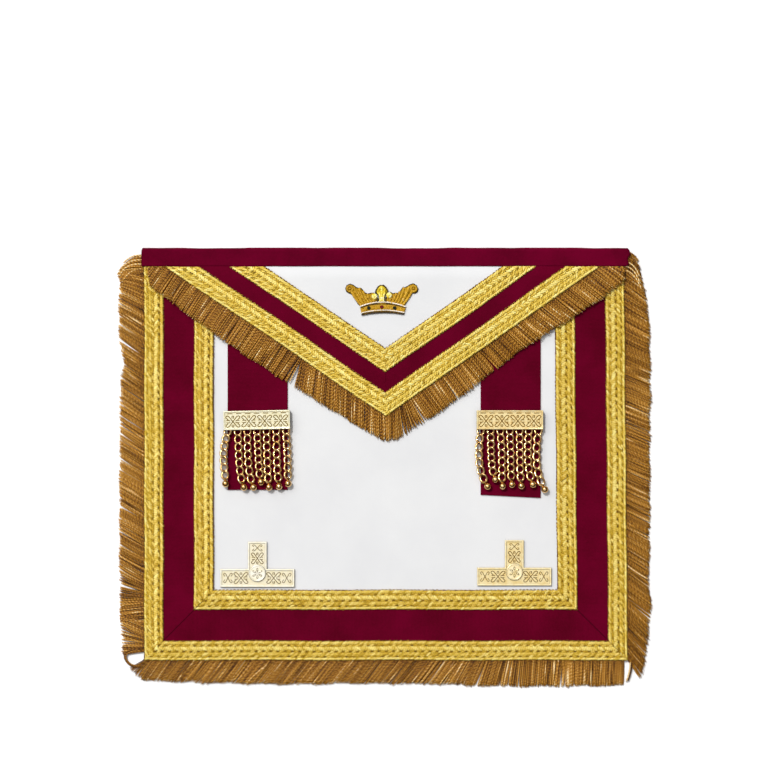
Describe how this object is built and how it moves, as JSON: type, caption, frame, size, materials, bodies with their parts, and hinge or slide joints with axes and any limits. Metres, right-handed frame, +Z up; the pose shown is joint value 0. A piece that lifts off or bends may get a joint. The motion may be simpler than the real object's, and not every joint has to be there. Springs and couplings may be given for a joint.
{
  "type": "masonic apron",
  "caption": "White leather ceremonial apron lying flat, with crimson ribbon border, gold braid, bullion fringe, V flap with crown badge, barred chain tassels and level plates.",
  "frame": {"origin": "middle of the underside, on the surface that the apron lies on", "axes": "+X across the apron to the wearer's left hand, as seen in the picture to the right, +Y from the hem to the waistband, +Z up from the surface, out of the apron's front"},
  "size_m": [0.4506, 0.3706, 0.009],
  "materials": {
    "leather": "smooth white, fine grain",
    "crimson_ribbon": "ribbed grosgrain",
    "waistband_cloth": "matt satin ribbon",
    "gold_braid": "woven metallic thread",
    "bullion_fringe": "twisted gold cord",
    "tassel_metal": "pale gold plate",
    "chain_metal": "polished gold plate",
    "level_metal": "pale gold plate",
    "crown_embroidery": "gold thread",
    "crown_fleur_thread": "bright gold thread",
    "red_glass": "faceted bead",
    "green_glass": "faceted bead"
  },
  "bodies": {
    "root": {"body_panel": "leather", "border_ribbon_left": "crimson_ribbon", "outer_braid_left": "gold_braid", "inner_braid_left": "gold_braid", "fringe_left": "bullion_fringe", "border_ribbon_bottom": "crimson_ribbon", "outer_braid_bottom": "gold_braid", "inner_braid_bottom": "gold_braid", "fringe_bottom": "bullion_fringe", "border_ribbon_right": "crimson_ribbon", "outer_braid_right": "gold_braid", "inner_braid_right": "gold_braid", "fringe_right": "bullion_fringe", "waistband": "waistband_cloth", "flap_panel": "leather", "flap_ribbon_left": "crimson_ribbon", "flap_outer_braid_left": "gold_braid", "flap_inner_braid_left": "gold_braid", "flap_fringe_left": "bullion_fringe", "tassel_ribbon_left": "crimson_ribbon", "tassel_bar_left": "tassel_metal", "level_left": "level_metal", "level_disc_left": "level_metal", "crown_jewel_green_left": "green_glass", "chain_left_1": "chain_metal", "chain_left_2": "chain_metal", "chain_left_3": "chain_metal", "chain_left_4": "chain_metal", "chain_left_5": "chain_metal", "chain_left_6": "chain_metal", "chain_left_7": "chain_metal", "flap_ribbon_right": "crimson_ribbon", "flap_outer_braid_right": "gold_braid", "flap_inner_braid_right": "gold_braid", "flap_fringe_right": "bullion_fringe", "tassel_ribbon_right": "crimson_ribbon", "tassel_bar_right": "tassel_metal", "level_right": "level_metal", "level_disc_right": "level_metal", "crown_jewel_green_right": "green_glass", "chain_right_1": "chain_metal", "chain_right_2": "chain_metal", "chain_right_3": "chain_metal", "chain_right_4": "chain_metal", "chain_right_5": "chain_metal", "chain_right_6": "chain_metal", "chain_right_7": "chain_metal", "crown_arms": "crown_embroidery", "crown_fleur": "crown_fleur_thread", "crown_jewel_red": "red_glass"}
  },
  "joints": []
}
